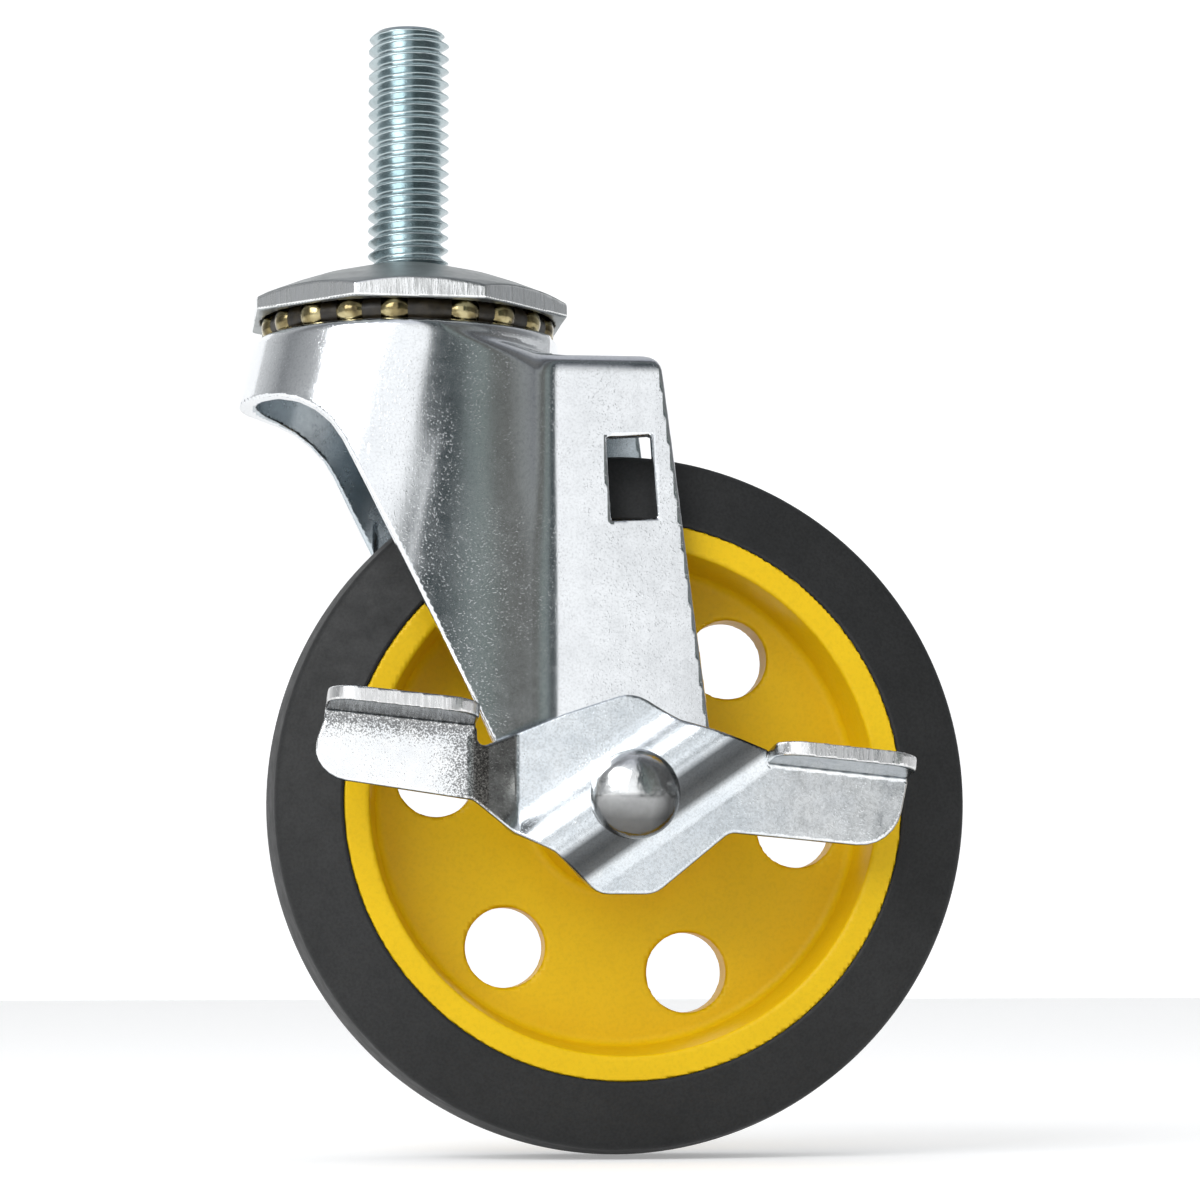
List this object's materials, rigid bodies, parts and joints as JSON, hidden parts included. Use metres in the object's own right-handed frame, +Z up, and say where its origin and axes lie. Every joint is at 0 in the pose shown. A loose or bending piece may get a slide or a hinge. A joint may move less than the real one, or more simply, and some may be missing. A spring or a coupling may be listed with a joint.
{
  "type": "braked castor",
  "caption": "Swivel castor with a threaded stem, a pressed steel fork on a ball race, a solid-tyred wheel and a rocking pedal brake on one side.",
  "frame": {"origin": "on the stem's axis, where the stem leaves the top of the cap", "axes": "+Z up along the stem, +X to the side that the wheel trails on, wheel axle along Y, brake on the -Y side"},
  "size_m": [0.1048, 0.059, 0.1627],
  "materials": {
    "plated_bolt": "bright zinc plate on a rolled thread",
    "plated_cap": "zinc plate, matt above, with sheared edges",
    "plated_sheet": "bright blue-white zinc plate with fine draw marks",
    "plated_lever": "bright zinc plate, mottled",
    "polished_rivet": "polished zinc plate",
    "greased_balls": "steel balls in yellow-brown grease",
    "yellow_plastic": "moulded yellow plastic, satin",
    "black_tyre": "dark grey-black moulded rubber, matt"
  },
  "bodies": {
    "mount": {"stem_bolt": "plated_bolt", "top_cap": "plated_cap", "lower_race": "plated_cap"},
    "upper_row": {"upper_ball_01": "greased_balls", "upper_ball_02": "greased_balls", "upper_ball_03": "greased_balls", "upper_ball_04": "greased_balls", "upper_ball_05": "greased_balls", "upper_ball_06": "greased_balls", "upper_ball_07": "greased_balls", "upper_ball_08": "greased_balls", "upper_ball_09": "greased_balls", "upper_ball_10": "greased_balls", "upper_ball_11": "greased_balls", "upper_ball_12": "greased_balls", "upper_ball_13": "greased_balls", "upper_ball_14": "greased_balls", "upper_ball_15": "greased_balls", "upper_ball_16": "greased_balls", "upper_ball_17": "greased_balls", "upper_ball_18": "greased_balls", "upper_ball_19": "greased_balls"},
    "lower_row": {"lower_ball_01": "greased_balls", "lower_ball_02": "greased_balls", "lower_ball_03": "greased_balls", "lower_ball_04": "greased_balls", "lower_ball_05": "greased_balls", "lower_ball_06": "greased_balls", "lower_ball_07": "greased_balls", "lower_ball_08": "greased_balls", "lower_ball_09": "greased_balls", "lower_ball_10": "greased_balls", "lower_ball_11": "greased_balls", "lower_ball_12": "greased_balls"},
    "swivel_fork": {"fork": "plated_sheet", "axle_rivet": "polished_rivet", "tail_washer": "polished_rivet", "spring_washer": "polished_rivet"},
    "wheel": {"hub": "yellow_plastic", "tyre": "black_tyre", "hub_bush": "plated_bolt"},
    "brake": {"brake_lever": "plated_lever"}
  },
  "joints": [
    {"name": "swivel", "type": "hinge", "parent": "mount", "child": "swivel_fork", "pos_m": [0, 0, -0.01], "axis": [0, 0, 1], "continuous": true},
    {"name": "upper_row_roll", "type": "hinge", "parent": "mount", "child": "upper_row", "pos_m": [0, 0, -0.0094], "axis": [0, 0, 1], "continuous": true},
    {"name": "lower_row_roll", "type": "hinge", "parent": "mount", "child": "lower_row", "pos_m": [0, 0, -0.0107], "axis": [0, 0, 1], "continuous": true},
    {"name": "wheel_spin", "type": "hinge", "parent": "swivel_fork", "child": "wheel", "pos_m": [0.03, 0, -0.0775], "axis": [0, 1, 0], "continuous": true},
    {"name": "brake_rock", "type": "hinge", "parent": "swivel_fork", "child": "brake", "pos_m": [0.03, -0.0218, -0.0775], "axis": [0, -1, 0], "range_deg": [0, 20]}
  ],
  "couplings": [
    {"joint": "upper_row_roll", "follows": "swivel", "ratio": 0.5},
    {"joint": "lower_row_roll", "follows": "swivel", "ratio": 0.5}
  ]
}
